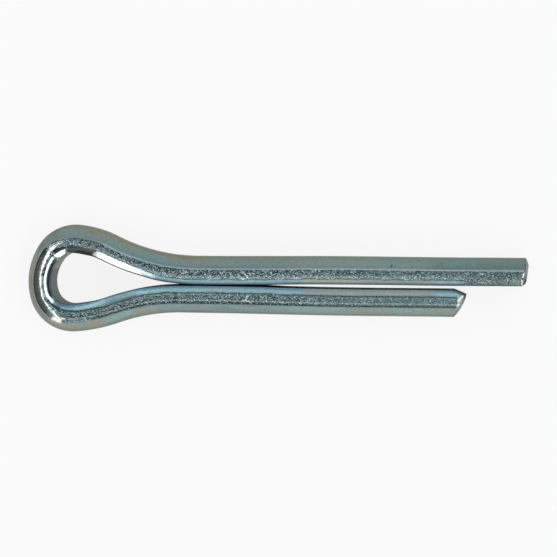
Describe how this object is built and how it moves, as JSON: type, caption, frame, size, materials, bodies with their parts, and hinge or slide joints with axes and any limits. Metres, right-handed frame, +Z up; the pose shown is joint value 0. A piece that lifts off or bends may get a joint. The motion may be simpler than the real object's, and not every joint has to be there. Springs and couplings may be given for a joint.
{
  "type": "cotter pin",
  "caption": "Split pin of folded half-round wire: an eye at one end, and two legs of unequal length that are pushed through a cross hole and bent apart to lock it.",
  "frame": {"origin": "on the axis of the round shank, where the neck of the long leg ends and both legs are straight", "axes": "+X along the shank from the eye to the leg ends, +Y across the flat plane of the eye towards the long leg, +Z up through the eye's hole; the pin lies on its side"},
  "size_m": [0.0313, 0.0066, 0.0034],
  "materials": {
    "zinc_plated_wire": "drawn low-carbon steel wire, zinc plated and blue-clear passivated: satin bluish grey with an olive tint in places, the wire's two sides dull and pitted, the cut ends sheared"
  },
  "bodies": {
    "root": {"cotter_pin": "zinc_plated_wire"}
  },
  "joints": []
}
